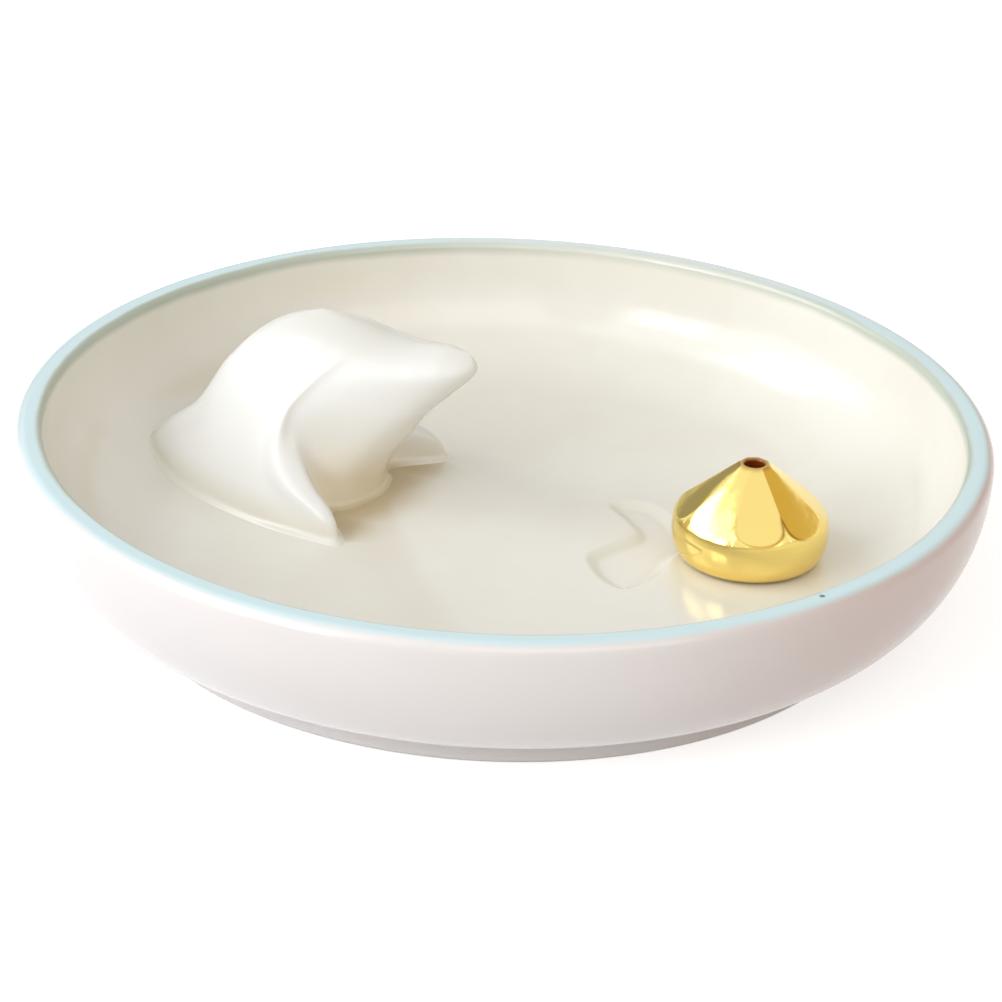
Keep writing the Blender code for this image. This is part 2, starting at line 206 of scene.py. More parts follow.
def add_pane(name, turn, rise, distance, size, brightness, colour, shift=(0.0, 0.0)):
    """A rectangular light at that place round the tray, facing it, moved in its own plane by the shift."""
    place, facing = stand_round(turn, rise, distance)
    place += facing @ Vector((shift[0], shift[1], 0.0))
    bpy.ops.object.light_add(type="AREA", location=place, rotation=facing.to_euler())
    pane = bpy.context.object
    pane.name = name
    pane.data.shape = "RECTANGLE"
    pane.data.size, pane.data.size_y = size
    pane.data.energy = brightness * math.pi * size[0] * size[1]
    pane.data.color = colour
    pane.visible_camera = False


for name, turn, rise, distance, pane_size, bar, brightness in WINDOWS:
    for column in (-1, 1):
        for row in (-1, 1):
            shift = (column * (pane_size[0] + bar) / 2, row * (pane_size[1] + bar) / 2)
            level = brightness[(row + 1) // 2]
            add_pane(f"{name}_{column}_{row}", turn, rise, distance, pane_size, level, PANE_COLOUR, shift)
for side in SOFT_SIDES:
    add_pane(*side)

# %% [markdown]
# Polished metal shows the room it stands in, and in a plain white room its facets would all look alike. As
# in a product photographer's studio, dark cards stand where single facets should look darker. Only
# reflections show them.

# %% Cards for the metal to mirror
# Name, turn and rise in degrees, distance, size, colour
CARDS = (
    ("warm_card", 14.0, 42.0, 0.9, (0.50, 0.34), (0.66, 0.50, 0.20)),
    ("grey_card", 112.0, 10.0, 0.9, (0.60, 0.22), (0.34, 0.34, 0.30)),
    ("brown_card", 60.0, 12.0, 0.9, (0.55, 0.24), (0.72, 0.60, 0.42)),
)

for name, turn, rise, distance, size, colour in CARDS:
    place, facing = stand_round(turn, rise, distance)
    bpy.ops.mesh.primitive_plane_add(size=1.0, location=place, rotation=facing.to_euler())
    card = bpy.context.object
    card.name = name
    card.scale = (size[0], size[1], 1.0)
    card.visible_camera = False
    card.visible_diffuse = False
    card.visible_shadow = False
    paint = bpy.data.materials.new(name)
    paint.use_nodes = True
    shader = paint.node_tree.nodes["Principled BSDF"]
    shader.inputs["Base Color"].default_value = (0.0, 0.0, 0.0, 1.0)
    shader.inputs["Specular IOR Level"].default_value = 0.0
    shader.inputs["Emission Color"].default_value = (*colour, 1.0)
    shader.inputs["Emission Strength"].default_value = 1.0
    card.data.materials.append(paint)
print(len(CARDS), "cards")

# %% [markdown]
# ## Tools for the modelling
# Everything below is shaped with the operators that a modeller uses by hand. They act on what is selected,
# so each piece starts with nothing selected, and faces are picked in code by where they lie.

# %% Helpers for the operators
POINT_MERGE = 0.000002


def select_only(obj):
    if bpy.context.object and bpy.context.object.mode != "OBJECT":
        bpy.ops.object.mode_set(mode="OBJECT")
    bpy.ops.object.select_all(action="DESELECT")
    obj.select_set(True)
    bpy.context.view_layer.objects.active = obj


def edit(obj):
    """Goes into edit mode on that object alone, with all of it selected."""
    select_only(obj)
    bpy.ops.object.mode_set(mode="EDIT")
    bpy.ops.mesh.select_all(action="SELECT")


def pick_faces(obj, wanted):
    """Selects, in edit mode, the faces whose middle and normal the test accepts."""
    bpy.ops.mesh.select_mode(type="FACE")
    bpy.ops.mesh.select_all(action="DESELECT")
    bpy.ops.object.mode_set(mode="OBJECT")
    for face in obj.data.polygons:
        face.select = wanted(face.center, face.normal)
    bpy.ops.object.mode_set(mode="EDIT")


def pick_open_edges():
    """Selects, in edit mode, the edges at the border of an open mesh."""
    bpy.ops.mesh.select_mode(type="VERT")
    bpy.ops.mesh.select_all(action="DESELECT")
    bpy.ops.mesh.select_non_manifold(extend=False, use_wire=False, use_boundary=True, use_multi_face=False,
                                     use_non_contiguous=False, use_verts=False)


def apply_modifier(obj, name):
    select_only(obj)
    bpy.ops.object.modifier_apply(modifier=name)


def turn_profile(name, profile, steps):
    """Draws the profile point by point from one vertex, as (radius, height), and spins it once round."""
    bpy.ops.object.select_all(action="DESELECT")
    bpy.ops.mesh.primitive_plane_add(size=0.001, location=(0.0, 0.0, 0.0))
    obj = bpy.context.object
    obj.name = name
    edit(obj)
    bpy.ops.mesh.select_mode(type="VERT")
    bpy.ops.mesh.merge(type="CENTER")
    bpy.ops.transform.translate(value=(profile[0][0], 0.0, profile[0][1]))
    for before, after in zip(profile, profile[1:]):
        step = (after[0] - before[0], 0.0, after[1] - before[1])
        bpy.ops.mesh.extrude_region_move(TRANSFORM_OT_translate={"value": step})
    bpy.ops.mesh.select_all(action="SELECT")
    bpy.ops.mesh.spin(steps=steps, angle=2 * math.pi, center=(0.0, 0.0, 0.0), axis=(0.0, 0.0, 1.0))
    bpy.ops.mesh.select_all(action="SELECT")
    bpy.ops.mesh.remove_doubles(threshold=POINT_MERGE)
    bpy.ops.mesh.normals_make_consistent(inside=False)
    bpy.ops.object.mode_set(mode="OBJECT")
    print(name, "turned:", len(obj.data.vertices), "points,", len(obj.data.polygons), "faces")
    return obj


# %% [markdown]
# ## The dish
# A dish like this is thrown or pressed on a wheel, so its section is the same all round. Its section is
# drawn once and spun. The inside is a flat floor that rises in one full curve to the lip. The lip is flat
# on top with a tight inner edge and a rounder outer one. Outside, the wall runs down to a low foot ring,
# which lifts the glaze off the kiln's shelf, and within the ring the underside is flat.

# %% Section of the dish
RIM_RADIUS = 0.0550
RIM_HEIGHT = 0.0200
LIP_THICKNESS = 0.0031
LIP_INNER_EDGE = 0.0007
LIP_OUTER_EDGE = 0.0013
FLOOR_HEIGHT = 0.0058
FLOOR_RADIUS = 0.0385
INNER_FULLNESS = 2.4
OUTER_FULLNESS = 2.1
FOOT_RADIUS = 0.0435
FOOT_HEIGHT = 0.0024
FOOT_WIDTH = 0.0030
FOOT_ROUND = 0.0004
FOOT_SLOPE = 0.0008
WALL_TUCK = 0.0025
UNDERSIDE = 0.0020
MID_FLOOR = 0.0030
RING_STEP = 0.00055
WALL_STEPS = 56
LIP_STEPS = 5


def full_curve(start, end, fullness, steps, tuck=0.0):
    """A quarter of a superellipse that leaves the start level and reaches the end upright."""
    reach, rise = end[0] - start[0], end[1] - start[1]
    first = math.asin((tuck / reach) ** (fullness / 2))
    points = []
    for step in range(steps + 1):
        angle = first + (math.pi / 2 - first) * step / steps
        across = math.sin(angle) ** (2 / fullness)
        up = 1 - abs(math.cos(angle)) ** (2 / fullness)
        points.append((start[0] + reach * across, start[1] + rise * up))
    return points


def rounded(centre, radius, first, last, steps):
    """Points on an arc between two angles in degrees, both ends included."""
    angles = [math.radians(first + (last - first) * step / steps) for step in range(steps + 1)]
    return [(centre[0] + radius * math.cos(a), centre[1] + radius * math.sin(a)) for a in angles]


inner_top = (RIM_RADIUS - LIP_THICKNESS, RIM_HEIGHT - LIP_INNER_EDGE)
inner_wall = full_curve((FLOOR_RADIUS, FLOOR_HEIGHT), inner_top, INNER_FULLNESS, WALL_STEPS)
outer_foot = (FOOT_RADIUS - WALL_TUCK, FOOT_HEIGHT)
outer_top = (RIM_RADIUS, RIM_HEIGHT - LIP_OUTER_EDGE)
outer_wall = full_curve(outer_foot, outer_top, OUTER_FULLNESS, WALL_STEPS, WALL_TUCK)
lip_inside = rounded((inner_top[0] + LIP_INNER_EDGE, inner_top[1]), LIP_INNER_EDGE, 180, 90, steps=8)
lip_outside = rounded((outer_top[0] - LIP_OUTER_EDGE, outer_top[1]), LIP_OUTER_EDGE, 90, 0, steps=12)
lip_start, lip_end = lip_inside[-1][0], lip_outside[0][0]
lip_top = [
    (lip_start + (lip_end - lip_start) * step / LIP_STEPS, RIM_HEIGHT) for step in range(1, LIP_STEPS)
]
foot_low = FOOT_RADIUS - FOOT_ROUND
foot_in = FOOT_RADIUS - FOOT_WIDTH

rings = round(FLOOR_RADIUS / RING_STEP)
section = [(FLOOR_RADIUS * ring / rings, FLOOR_HEIGHT) for ring in range(rings)]
section += inner_wall + lip_inside[1:] + lip_top + lip_outside + outer_wall[-2::-1]
section += rounded((foot_low, FOOT_ROUND), FOOT_ROUND, 0, -90, steps=5)
section += rounded((foot_in + FOOT_ROUND, FOOT_ROUND), FOOT_ROUND, -90, -180, steps=5)
section += [(foot_in - FOOT_SLOPE, UNDERSIDE), (foot_in - 2 * FOOT_SLOPE, UNDERSIDE), (0.0, UNDERSIDE)]
print("section of", len(section), "points")

# %% Spin of the section
DISH_STEPS = 256
dish = turn_profile("glazed_dish", section, DISH_STEPS)

# %% [markdown]
# ### The hollow beside the holder
# A fluke shape is pressed into the floor before glazing, and glaze softens its edges. Its outline is a
# smooth closed curve. The floor's faces near it are divided finely, each point there gets a weight for how
# deep it is pressed, as with a weight brush, and a Displace modifier pushes the points down by it.

# %% Outline of the hollow
HOLLOW_CENTRE = Vector((0.0152, -0.0029))
HOLLOW_SPAN = 0.0225
HOLLOW_DEPTH = 0.0007
HOLLOW_EDGE = 0.0019
HOLLOW_LEAD = 0.15
HOLLOW_MARGIN = 0.0012
HOLLOW_SHARES = (
    (0.00, 0.12), (-0.05, 0.28), (-0.13, 0.44), (-0.05, 0.51), (0.10, 0.47), (0.20, 0.33),
    (0.29, 0.10), (0.33, -0.05), (0.20, -0.11), (0.13, -0.31), (-0.02, -0.49), (-0.12, -0.47),
    (-0.21, -0.33), (-0.24, -0.14), (-0.12, 0.00),
)
OUTLINE_STEPS = 8


def smooth_between(a, b, c, d, t):
    """The point at the share t of the way from b to c, on a smooth curve that a and d lie on as well."""
    return (2 * b + (c - a) * t + (2 * a - 5 * b + 4 * c - d) * t**2 + (3 * b - a - 3 * c + d) * t**3) / 2


def closed_curve(points, steps):
    """A smooth curve through a ring of points."""
    found = []
    for i in range(len(points)):
        four = [points[(i + k) % len(points)] for k in range(-1, 3)]
        found += [smooth_between(*four, step / steps) for step in range(steps)]
    return found


outline = closed_curve([HOLLOW_CENTRE + Vector(p) * HOLLOW_SPAN for p in HOLLOW_SHARES], OUTLINE_STEPS)
starts = np.array([tuple(p) for p in outline])
steps_on = np.roll(starts, -1, axis=0) - starts
step_squares = (steps_on**2).sum(1)
climbs = np.where(steps_on[:, 1] == 0.0, POINT_MERGE, steps_on[:, 1])


def inside_by(x, y):
    """How far a place on the floor lies inside the outline, below zero outside it."""
    offset = np.array((x, y)) - starts
    share = np.clip((offset * steps_on).sum(1) / step_squares, 0.0, 1.0)
    nearest = math.sqrt(((offset - steps_on * share[:, None]) ** 2).sum(1).min())
    spans = (starts[:, 1] > y) != (starts[:, 1] + steps_on[:, 1] > y)
    crossings = np.count_nonzero(spans & (offset[:, 0] < offset[:, 1] / climbs * steps_on[:, 0]))
    return nearest if crossings % 2 else -nearest


hollow_reach = max((p - HOLLOW_CENTRE).length for p in outline) + HOLLOW_MARGIN
print("outline of", len(outline), "points, reach", round(hollow_reach, 4))

# %% Finer faces round the hollow, then the press
def near_hollow(centre, normal):
    if centre.z < MID_FLOOR or (centre.xy - HOLLOW_CENTRE).length > hollow_reach:
        return False
    return centre.x**2 + centre.y**2 < FLOOR_RADIUS**2 and inside_by(centre.x, centre.y) > -HOLLOW_MARGIN


edit(dish)
pick_faces(dish, near_hollow)
bpy.ops.mesh.subdivide(number_cuts=3)
bpy.ops.object.mode_set(mode="OBJECT")
pressed = dish.vertex_groups.new(name="pressed")
for vertex in dish.data.vertices:
    if vertex.co.z > MID_FLOOR and (vertex.co.xy - HOLLOW_CENTRE).length < hollow_reach:
        share = min(1.0, max(0.0, HOLLOW_LEAD + inside_by(vertex.co.x, vertex.co.y) / HOLLOW_EDGE))
        pressed.add([vertex.index], share * share * (3 - 2 * share), "REPLACE")
press = dish.modifiers.new("press", "DISPLACE")
press.direction = "Z"
press.vertex_group = "pressed"
press.mid_level = 0.0
press.strength = -HOLLOW_DEPTH
apply_modifier(dish, "press")
dish.vertex_groups.clear()
dish.data.shade_smooth()
inside_floor = [v.co.z for v in dish.data.vertices if v.co.xy.length < FLOOR_RADIUS and v.co.z > MID_FLOOR]
print("dish:", len(dish.data.polygons), "faces, hollow down to", round(min(inside_floor), 5))

# %% [markdown]
# ## The sea creature
# The figure is modelled by hand in clay, cast, and set into the dish before glazing. A flat grid has the
# right number of rows for it: one half is a grid whose columns are rails that climb from the floor to the
# crown line, and whose rows run from the tail round the fin to the belly. Every crossing is given as a share
# of the creature's length, half width and height, and smooth curves through them place the points in between.
# The head is then smoothed in four steps, more and more towards the crown, so that no step shows where one of
# them ends.

# %% Rails of one half, given point by point
CREATURE_PLACE = (-0.0127, 0.0069)
CREATURE_HEADING = math.radians(-26.4)
CREATURE_SIZE = Vector((0.0420, 0.0142, 0.0221))
TAIL_SWING = 0.0018
TAIL_LENGTH = 0.0312
ROOT_DEPTH = 0.0020
CREATURE_STEPS = 12

SPINE_SHARES = (
    (-0.745, 0, 0.00), (-0.744, 0, 0.085), (-0.700, 0, 0.18), (-0.607, 0, 0.33),
    (-0.515, 0, 0.62), (-0.430, 0, 0.80), (-0.330, 0, 0.93), (-0.205, 0, 1.00),
)
TAIL_SIDE_SHARES = (
    (-0.665, 0.34, 0.00), (-0.670, 0.30, 0.08), (-0.635, 0.25, 0.17), (-0.560, 0.23, 0.31),
    (-0.485, 0.22, 0.59), (-0.405, 0.19, 0.77), (-0.305, 0.14, 0.915), (-0.170, 0, 0.998),
)
FLANK_SHARES = (
    (-0.490, 0.71, 0.00), (-0.485, 0.62, 0.11), (-0.470, 0.53, 0.23), (-0.440, 0.47, 0.38),
    (-0.395, 0.42, 0.58), (-0.330, 0.36, 0.77), (-0.250, 0.25, 0.91), (-0.130, 0, 0.99),
)
FIN_BACK_SHARES = (
    (-0.250, 0.945, 0.00), (-0.275, 0.87, 0.12), (-0.305, 0.77, 0.24), (-0.315, 0.655, 0.39),
    (-0.293, 0.55, 0.58), (-0.232, 0.44, 0.77), (-0.155, 0.30, 0.905), (-0.070, 0, 0.968),
)
FIN_RIDGE_SHARES = (
    (-0.045, 1.00, 0.00), (-0.110, 0.935, 0.115), (-0.205, 0.855, 0.225), (-0.245, 0.72, 0.385),
    (-0.232, 0.58, 0.57), (-0.165, 0.45, 0.755), (-0.095, 0.305, 0.885), (-0.030, 0, 0.945),
)
FIN_EDGE_SHARES = (
    (0.010, 0.93, 0.00), (-0.020, 0.895, 0.125), (-0.115, 0.79, 0.235), (-0.198, 0.64, 0.395),
    (-0.200, 0.565, 0.57), (-0.128, 0.440, 0.745), (-0.050, 0.30, 0.87), (0.005, 0, 0.933),
)
ARMPIT_SHARES = (
    (-0.105, 0.53, 0.00), (-0.135, 0.55, 0.12), (-0.155, 0.55, 0.235), (-0.155, 0.52, 0.385),
    (-0.110, 0.490, 0.550), (-0.020, 0.395, 0.71), (0.045, 0.285, 0.84), (0.085, 0, 0.932),
)
CHEST_SHARES = (
    (-0.070, 0.30, 0.00), (-0.075, 0.33, 0.11), (-0.055, 0.35, 0.23), (-0.010, 0.335, 0.38),
    (0.055, 0.30, 0.53), (0.125, 0.245, 0.68), (0.190, 0.195, 0.835), (0.152, 0, 0.952),
)
BELLY_SHARES = (
    (-0.050, 0, 0.00), (-0.042, 0, 0.10), (-0.012, 0, 0.23), (0.048, 0, 0.39),
    (0.100, 0, 0.53), (0.176, 0, 0.675), (0.248, 0, 0.83), (0.221, 0, 0.928),
)
rails = [
    [Vector(shares) * CREATURE_SIZE for shares in rail]
    for rail in (SPINE_SHARES, TAIL_SIDE_SHARES, FLANK_SHARES, FIN_BACK_SHARES, FIN_RIDGE_SHARES,
                 FIN_EDGE_SHARES, ARMPIT_SHARES, CHEST_SHARES, BELLY_SHARES)
]
print(len(rails), "rails of", len(rails[0]), "points")

# %% Curves through the rails and across them
def on_curve(points, before, after, place):
    """A point on a smooth curve through the points, the place counted in points from the first."""
    low = min(int(place), len(points) - 2)
    chain = [before] + points + [after]
    return smooth_between(*chain[low:low + 4], place - low)


def other_side(point):
    return Vector((point.x, -point.y, point.z))


last = len(rails[0]) - 1
after_top = [rails[1][last]] + [other_side(rail[-2]) for rail in rails[1:-1]] + [rails[-2][last]]


def section_at(row):
    """The nine rails' points at that row, which may lie between two rows, and the points beyond both ends."""
    points = [on_curve(rail, 2 * rail[0] - rail[1], after, row) for rail, after in zip(rails, after_top)]
    if row > last - POINT_MERGE:
        return points, rails[0][-2], rails[-1][-2]
    return points, other_side(points[1]), other_side(points[-2])


sections = {}
for step in range(last * CREATURE_STEPS + 1):
    sections[step] = section_at(step / CREATURE_STEPS)
print(len(sections), "sections")

# %% One half from a grid, its mirror image, and the root under the floor
ROLL_RAIL = 4.4
ROLL_WIDTH = 0.42
ROLL_ROWS = (0.8, 3.8, 6.2)
VALLEY_BEHIND = 0.85
VALLEY_WIDTH = 0.34
VALLEY_SHARE = 0.7
SHELTER_RAILS = (5.2, 6.2)
SHELTER_ROWS = (1.4, 4.6)
# Height to start from, how far forward, passes
HEAD_SMOOTHING = ((0.0095, 0.0200, 8), (0.0110, 0.0085, 10), (0.0130, 0.0060, 16), (0.0140, 0.0035, 40))


def ramp(value, start, end):
    """A share that goes from 0 at the start to 1 at the end, and stays there."""
    return min(1.0, max(0.0, (value - start) / (end - start)))


def write_values(mesh, name, values):
    """Stores a number for each point under that name."""
    stored = mesh.attributes.new(name, "FLOAT", "POINT")
    stored.data.foreach_set("value", np.asarray(values, dtype=np.float32))


columns = (len(rails) - 1) * CREATURE_STEPS
rows = last * CREATURE_STEPS
bpy.ops.object.select_all(action="DESELECT")
bpy.ops.mesh.primitive_grid_add(
    x_subdivisions=columns, y_subdivisions=rows, size=1.0, location=(0.0, 0.0, 0.0)
)
creature = bpy.context.object
creature.name = "glazed_creature"
rolled, painted_body_shade = [], []
for vertex in creature.data.vertices:
    rail = round((vertex.co.x + 0.5) * columns) / CREATURE_STEPS
    row = round((vertex.co.y + 0.5) * rows)
    points, before, after = sections[row]
    vertex.co = on_curve(points, before, after, rail)
    up = row / CREATURE_STEPS
    edge = math.exp(-((rail - ROLL_RAIL) / ROLL_WIDTH) ** 2)
    edge -= VALLEY_SHARE * math.exp(-((rail - ROLL_RAIL + VALLEY_BEHIND) / VALLEY_WIDTH) ** 2)
    rolled.append(edge * ramp(up, 0.0, ROLL_ROWS[0]) * ramp(up, ROLL_ROWS[2], ROLL_ROWS[1]))
    # The share of painted brown shade between the fins, low down, is stored for each point.
    painted_body_shade.append(ramp(rail, *SHELTER_RAILS) * ramp(up, SHELTER_ROWS[1], SHELTER_ROWS[0]))
write_values(creature.data, "rolled", rolled)
write_values(creature.data, "painted_body_shade", painted_body_shade)
mirror = creature.modifiers.new("other_side", "MIRROR")
mirror.use_axis = (False, True, False)
mirror.merge_threshold = POINT_MERGE
apply_modifier(creature, "other_side")
edit(creature)
bpy.ops.mesh.remove_doubles(threshold=POINT_MERGE)
pick_open_edges()
bpy.ops.mesh.extrude_region_move(TRANSFORM_OT_translate={"value": (0.0, 0.0, -ROOT_DEPTH)})
bpy.ops.mesh.select_all(action="SELECT")
bpy.ops.mesh.normals_make_consistent(inside=False)
bpy.ops.mesh.select_all(action="SELECT")
bpy.ops.mesh.vertices_smooth(factor=0.5, repeat=3)
for lowest, furthest, passes in HEAD_SMOOTHING:
    pick_faces(creature, lambda centre, normal: centre.z > lowest and centre.x < furthest)
    bpy.ops.mesh.vertices_smooth(factor=0.5, repeat=passes)
bpy.ops.object.mode_set(mode="OBJECT")
print("clay figure:", len(creature.data.polygons), "faces")

# %% [markdown]
# The tail bends to one side, so the points behind the fins are swung sideways, more and more towards its
# end. Then the figure is turned to its heading, put in its place and divided once. Where its glaze runs
# into the dish's glaze, the two meet in a small hollow curve, so the lowest points are moved outwards, the
# most at the floor. The front edges of the fins are rolled a little thicker, with a shallow valley behind
# them.

# %% Bend of the tail, place and pooled glaze
POOL_WIDTH = 0.0007
POOL_HEIGHT = 0.0012
LEAST_LEVEL = 0.3
ROLL_RISE = 0.00032
FAR_FIN = 0.93


def read_values(mesh, name):
    values = np.empty(len(mesh.vertices), dtype=np.float32)
    mesh.attributes[name].data.foreach_get("value", values)
    return values


def read_points(mesh, what):
    """The places or the normals of all points, as rows of three numbers."""
    values = np.empty(len(mesh.vertices) * 3, dtype=np.float32)
    mesh.vertices.foreach_get(what, values)
    return values.reshape(-1, 3)


def write_points(mesh, places):
    mesh.vertices.foreach_set("co", np.ascontiguousarray(places, dtype=np.float32).ravel())
    mesh.update()


places = read_points(creature.data, "co")
far_side = np.clip(places[:, 1] / (0.5 * CREATURE_SIZE[1]), 0.0, 1.0)
places[:, 1] *= 1.0 - (1.0 - FAR_FIN) * far_side
behind = np.maximum(0.0, -places[:, 0] / TAIL_LENGTH)
places[:, 1] -= TAIL_SWING * behind**2
write_points(creature.data, places)
edit(creature)
bpy.ops.transform.rotate(value=-CREATURE_HEADING, orient_axis="Z", center_override=(0.0, 0.0, 0.0))
bpy.ops.transform.translate(value=(*CREATURE_PLACE, FLOOR_HEIGHT))
bpy.ops.object.mode_set(mode="OBJECT")
smooth = creature.modifiers.new("smooth", "SUBSURF")
smooth.levels = 1
smooth.render_levels = 1
apply_modifier(creature, "smooth")
edit(creature)
pick_open_edges()
bpy.ops.mesh.edge_face_add()
bpy.ops.object.mode_set(mode="OBJECT")

inside_radii = np.array([0.0] + [radius for radius, height in inner_wall])
inside_heights = np.array([FLOOR_HEIGHT] + [height for radius, height in inner_wall])
places = read_points(creature.data, "co")
normals = read_points(creature.data, "normal")
above = places[:, 2] - np.interp(np.hypot(places[:, 0], places[:, 1]), inside_radii, inside_heights)
share = np.clip(1.0 - np.maximum(above, 0.0) / POOL_HEIGHT, 0.0, 1.0)
level = np.hypot(normals[:, 0], normals[:, 1])
outwards = normals[:, :2] / np.maximum(level, LEAST_LEVEL)[:, None]
places[:, :2] += outwards * (POOL_WIDTH * share**4)[:, None]
places += normals * (ROLL_RISE * read_values(creature.data, "rolled"))[:, None]
write_points(creature.data, places)
write_values(creature.data, "pool", share)
creature.data.shade_smooth()
creature_top = float(places[:, 2].max())
print("creature:", len(creature.data.polygons), "faces, top at", round(creature_top, 5))

# %% [markdown]
# ## The stick holder
# The holder is a button turned from brass, ground with eight facets round a drilled hole, then polished and
# plated. It is made in the same order here. Its section is spun, the bore included. Grinding then moves every
# point of the dome inwards to the plane of its facet, and the rows of points are spread so that one row lies
# on the curved border of the facets. Polishing leaves the facets a little full and their edges soft, so each
# facet bulges by some hundredths of a millimetre and a fine bevel rounds the edges. Along the curved border a
# dark reflection is painted into the gold, so the points there carry a number for it.

# %% Turned body with its bore
HOLDER_PLACE = (0.0281, -0.0046)
HOLDER_LIFT = 0.0003
HOLDER_RADIUS = 0.0089
HOLDER_BULGE = 0.0015
HOLDER_HEIGHT = 0.0112
HOLDER_BELLY = 0.0030
DOME_SHARES = (
    (1.00, 0.00), (0.994, 0.122), (0.966, 0.244), (0.882, 0.366),
    (0.725, 0.524), (0.539, 0.732), (0.337, 1.00),
)
BORE_RADIUS = 0.0011
BORE_FLARE = 0.0002
BORE_FLOOR = 0.0020
BORE_WALL = 0.00026
HOLDER_STEPS = 192
DOME_STEPS = 40
DOME_ROWS = 30
FACET_ROWS = 26
BELLY_STEP = 3

rise = HOLDER_HEIGHT - HOLDER_BELLY
dome = [Vector((HOLDER_RADIUS * across, HOLDER_BELLY + rise * up)) for across, up in DOME_SHARES]
chain = [2 * dome[0] - dome[1]] + dome + [2 * dome[-1] - dome[-2]]
chain[0].x = dome[1].x
curve = []
for four in zip(chain, chain[1:], chain[2:], chain[3:]):
    curve += [smooth_between(*four, step / DOME_STEPS) for step in range(DOME_STEPS)]
curve.append(dome[-1])
curve_heights, curve_radii = np.array([p.y for p in curve]), np.array([p.x for p in curve])
dome_rows = HOLDER_BELLY + rise * np.arange(DOME_ROWS + FACET_ROWS + 1) / (DOME_ROWS + FACET_ROWS)
blank = list(zip(np.interp(dome_rows, curve_heights, curve_radii).tolist(), dome_rows.tolist()))
belly = [
    (HOLDER_RADIUS - HOLDER_BULGE * (1 - math.cos(a)), HOLDER_BELLY * (1 - math.sin(a)))
    for a in (math.radians(degrees) for degrees in range(90, 0, -BELLY_STEP))
]
bore = [
    (BORE_RADIUS + BORE_FLARE, HOLDER_HEIGHT), (BORE_RADIUS, HOLDER_HEIGHT - BORE_FLARE),
    (BORE_RADIUS, BORE_FLOOR + BORE_RADIUS / 2), (0.0, BORE_FLOOR),
]
holder = turn_profile("gold_holder", [(0.0, 0.0)] + belly + blank + bore, HOLDER_STEPS)

# %% Eight ground facets
FACETS = 8
FACET_TURN = math.radians(4.0)
FACET_FOOT = 0.0053
FACET_BITE = 0.00075
FACET_FULLNESS = 0.00008
FACET_EDGE = 0.00006
SHARP_ANGLE = math.radians(9)
FINE_STEPS = 1600

top_radius = BORE_RADIUS + BORE_FLARE + BORE_WALL
slope = (HOLDER_RADIUS - FACET_BITE - top_radius) / (HOLDER_HEIGHT - FACET_FOOT)
lean = math.atan(slope)
half_facet = math.pi / FACETS
fine_heights = np.linspace(HOLDER_BELLY, HOLDER_HEIGHT, FINE_STEPS)
fine_radii = np.interp(fine_heights, curve_heights, curve_radii)
fine_planes = top_radius + slope * (HOLDER_HEIGHT - fine_heights)

places = read_points(holder.data, "co").astype(float)
radii = np.hypot(places[:, 0], places[:, 1])
turns = np.arctan2(places[:, 1], places[:, 0])
off_middle = (turns + half_facet) % (2 * half_facet) - half_facet
row = (places[:, 2] - HOLDER_BELLY) / rise * (DOME_ROWS + FACET_ROWS)
on_dome = (row > -0.5) & (radii > top_radius)
first_inside = [np.argmax(fine_radii * math.cos(a) > fine_planes) for a in off_middle[on_dome]]
borders = fine_heights[first_inside]
low = np.clip(row[on_dome] / DOME_ROWS, 0.0, 1.0)
high = np.clip((row[on_dome] - DOME_ROWS) / FACET_ROWS, 0.0, 1.0)
heights = HOLDER_BELLY + (borders - HOLDER_BELLY) * low + (HOLDER_HEIGHT - borders) * high
full = FACET_FULLNESS * (1 - (off_middle[on_dome] / half_facet) ** 2) * 4 * high * (1 - high)
plane = top_radius + slope * (HOLDER_HEIGHT - heights)
ground = (plane + full * math.cos(lean)) / np.cos(off_middle[on_dome])
turned = np.interp(heights, curve_heights, curve_radii)
radii[on_dome] = np.where(high > 0.0, ground, turned)
places[on_dome, 2] = heights + full * math.sin(lean)
places[:, 0] = radii * np.cos(turns + FACET_TURN) + HOLDER_PLACE[0]
places[:, 1] = radii * np.sin(turns + FACET_TURN) + HOLDER_PLACE[1]
places[:, 2] += FLOOR_HEIGHT + HOLDER_LIFT
write_points(holder.data, places)

edit(holder)
bpy.ops.mesh.select_mode(type="EDGE")
bpy.ops.mesh.select_all(action="DESELECT")
bpy.ops.mesh.edges_select_sharp(sharpness=SHARP_ANGLE)
bpy.ops.mesh.bevel(offset=FACET_EDGE, segments=3, affect="EDGES")
bpy.ops.object.mode_set(mode="OBJECT")
holder.data.shade_smooth()
weigh = holder.modifiers.new("flat_faces", "WEIGHTED_NORMAL")
weigh.weight = 60
apply_modifier(holder, "flat_faces")
print("holder:", len(holder.data.polygons), "faces, facets start", (borders.min(), borders.max()), "up")

# %% Where a dark reflection is painted on the curved border of the facets
RIDGE_WIDTH = 0.00008
LEAST_BORDER_REFLECTION = 0.1
BORDER_FADE_LEFT = 0.0030
BORDER_FADE_RIGHT = 0.0025
BORDER_END = 0.0068

